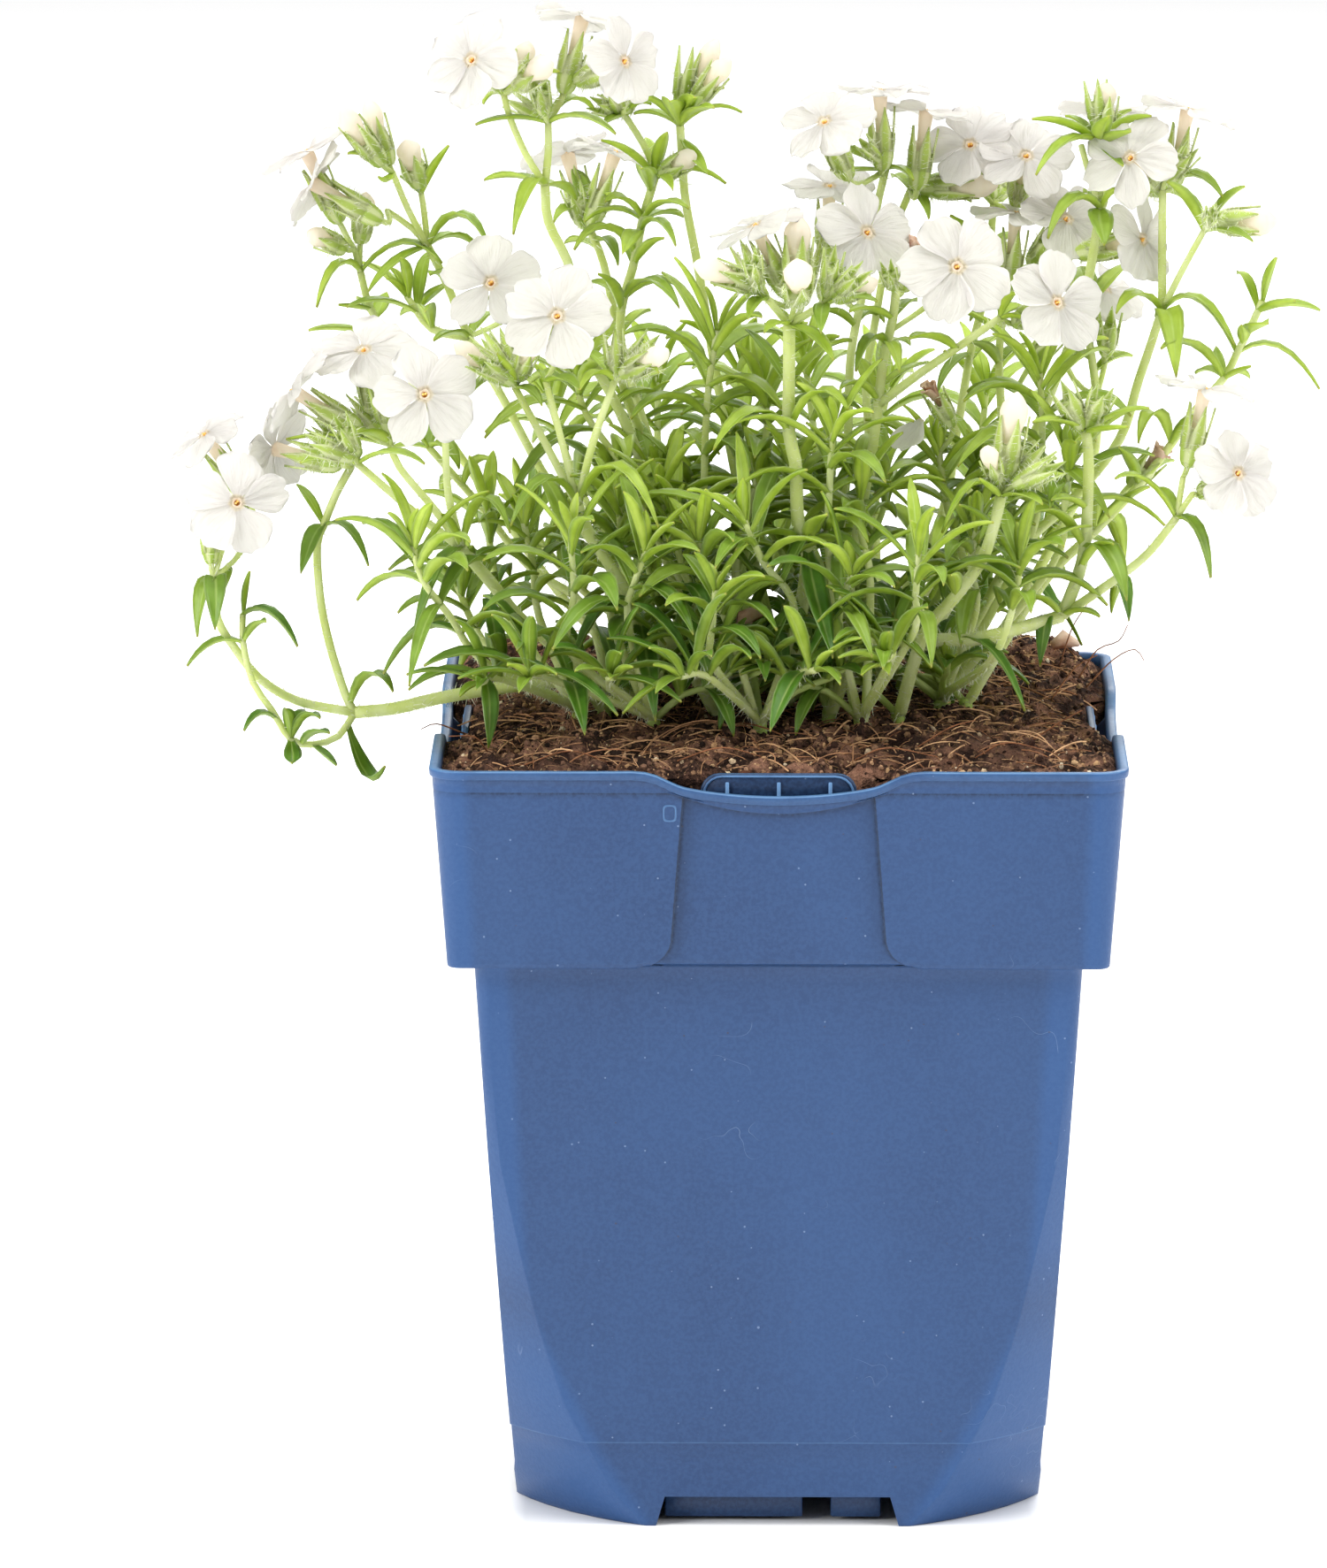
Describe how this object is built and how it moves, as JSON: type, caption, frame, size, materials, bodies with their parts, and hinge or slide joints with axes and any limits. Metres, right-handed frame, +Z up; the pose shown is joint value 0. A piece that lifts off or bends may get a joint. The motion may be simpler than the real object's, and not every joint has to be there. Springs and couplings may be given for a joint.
{
  "type": "phlox plant",
  "caption": "Flowering moss phlox in a square tapered nursery pot: thin leafy stems, calyces, buds and white five-lobed flowers above the soil.",
  "frame": {"origin": "centre of the pot's foot, on the surface that it stands on", "axes": "+Z up through the plant, +X to the right and -Y towards the viewer of the pot's front face"},
  "size_m": [0.1846, 0.1169, 0.2405],
  "materials": {
    "pot_plastic": "matte, slightly translucent polypropylene with fine scuffs",
    "potting_soil": "rough loose peat",
    "greenery": "satin leaf with fine hairs",
    "petals": "soft matte petal"
  },
  "bodies": {
    "root": {"pot": "pot_plastic", "soil": "potting_soil", "stem_runner_left": "greenery", "stem_left_mid": "greenery", "stem_front_left": "greenery", "stem_top_left": "greenery", "stem_top_leafy": "greenery", "stem_top_back": "greenery", "stem_top_bud": "greenery", "stem_upper_left": "greenery", "stem_far_left": "greenery", "stem_centre": "greenery", "stem_right_centre": "greenery", "stem_upper_right": "greenery", "stem_upper_right_b": "greenery", "stem_right_front": "greenery", "stem_right_low": "greenery", "stem_right_tall": "greenery", "stem_right_top": "greenery", "stem_back_right": "greenery", "stem_back_right_b": "greenery", "stem_back_right_c": "greenery", "shoot_right_tip": "greenery", "leafy_left": "greenery", "leafy_front_left": "greenery", "leafy_centre": "greenery", "leafy_front_centre": "greenery", "leafy_right_centre": "greenery", "leafy_right": "greenery", "leafy_back_left": "greenery", "leafy_back_right": "greenery", "bloom_left_low": "petals", "bloom_left_edge": "petals", "bloom_left_side": "petals", "bloom_left_tube": "petals", "bloom_left_flat": "petals", "bloom_left_front": "petals", "bloom_front_left": "petals", "bloom_top_left": "petals", "bloom_top_back": "petals", "bloom_top_mid": "petals", "blooms_top_low": "petals", "blooms_upper_left": "petals", "bloom_left_upper": "petals", "bloom_centre_side": "petals", "bloom_centre_right": "petals", "bloom_right_front": "petals", "bloom_right_low": "petals", "bloom_upper_edge": "petals", "bloom_upper_left": "petals", "bloom_back_tilted": "petals", "blooms_right_row": "petals", "bloom_right_edge": "petals", "bloom_far_right": "petals", "bloom_top_right": "petals", "bloom_right_upper": "petals", "bloom_top_right_back": "petals", "blooms_right_mid": "petals", "bloom_right_narrow": "petals", "bloom_right_behind": "petals"}
  },
  "joints": []
}
